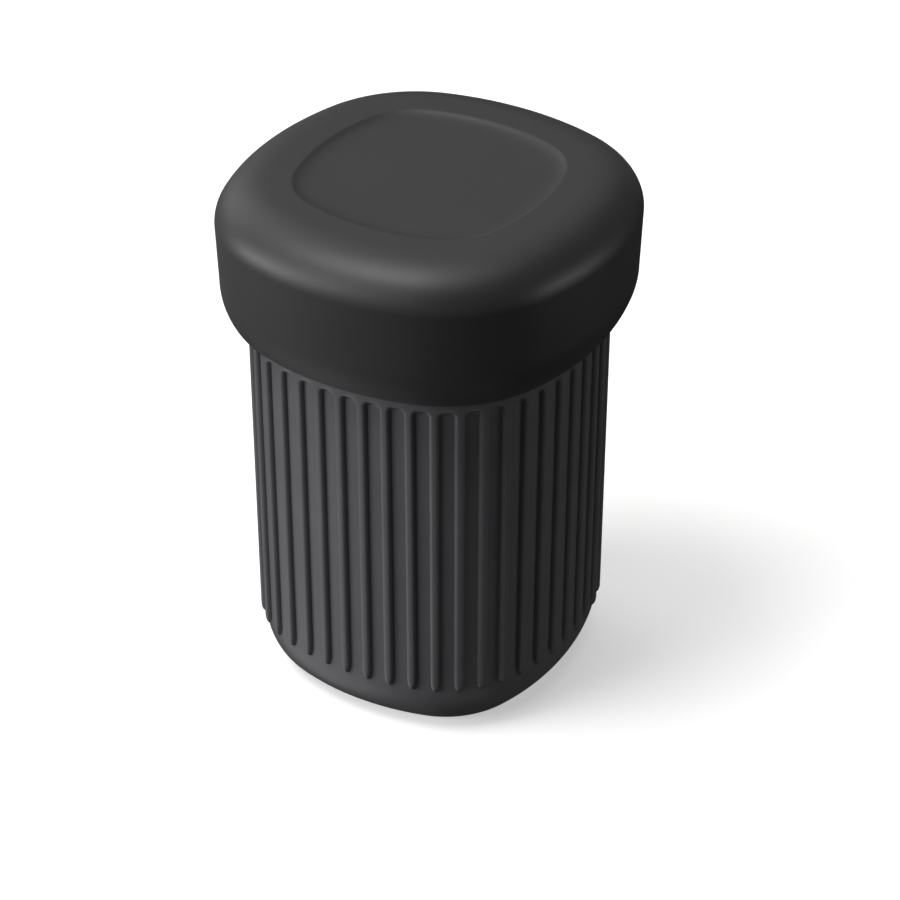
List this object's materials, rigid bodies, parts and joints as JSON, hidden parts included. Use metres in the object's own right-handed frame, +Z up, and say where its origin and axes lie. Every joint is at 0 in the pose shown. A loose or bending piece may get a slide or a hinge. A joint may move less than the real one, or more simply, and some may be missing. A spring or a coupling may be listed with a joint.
{
  "type": "travel coffee press in its mug",
  "caption": "Rounded-square ribbed travel mug with a thick soft lid, holding a small coffee press, scoop, folding stirrer and paper filters.",
  "frame": {"origin": "centre of the mug's foot, on the surface that it stands on", "axes": "+Z up along the mug's axis; X and Y square to the mug's four flat-ish sides"},
  "size_m": [0.0992, 0.0992, 0.137],
  "materials": {
    "mug_shell": "satin moulded",
    "lid_silicone": "soft matte moulded silicone",
    "chamber_clear": "translucent smoke grey, moulded",
    "cap_plastic": "satin moulded",
    "plunger_clear": "translucent smoke grey, moulded",
    "seal_rubber": "matte moulded rubber",
    "holder_plastic": "satin moulded",
    "filter_paper": "uncoated filter paper",
    "scoop_plastic": "satin moulded",
    "stirrer_plastic": "satin moulded"
  },
  "bodies": {
    "mug": {"mug": "mug_shell"},
    "holder": {"filter_holder": "holder_plastic", "paper_filters": "filter_paper"},
    "scoop": {"scoop": "scoop_plastic"},
    "stirrer": {"stirrer_handle": "stirrer_plastic", "stirrer_paddle": "stirrer_plastic", "stirrer_pin": "stirrer_plastic"},
    "plunger": {"plunger_tube": "plunger_clear", "plunger_seal": "seal_rubber"},
    "chamber": {"chamber": "chamber_clear"},
    "cap": {"filter_cap": "cap_plastic"},
    "lid": {"lid": "lid_silicone"}
  },
  "joints": [
    {"name": "holder_lift", "type": "slide", "parent": "mug", "child": "holder", "axis": [0, 0, 1], "range_m": [0, 0.115]},
    {"name": "scoop_lift", "type": "slide", "parent": "holder", "child": "scoop", "axis": [0, 0, 1], "range_m": [0, 0.105]},
    {"name": "stirrer_lift", "type": "slide", "parent": "scoop", "child": "stirrer", "axis": [0, 0, 1], "range_m": [0, 0.105]},
    {"name": "plunger_lift", "type": "slide", "parent": "stirrer", "child": "plunger", "axis": [0, 0, 1], "range_m": [0, 0.105]},
    {"name": "chamber_draw", "type": "slide", "parent": "plunger", "child": "chamber", "axis": [0, 0, 1], "range_m": [0, 0.105]},
    {"name": "cap_twist", "type": "hinge", "parent": "chamber", "child": "cap", "pos_m": [0, 0, 0.119], "axis": [0, 0, 1], "range_deg": [0, 45]},
    {"name": "lid_lift", "type": "slide", "parent": "chamber", "child": "lid", "axis": [0, 0, 1], "range_m": [0, 0.045]}
  ]
}
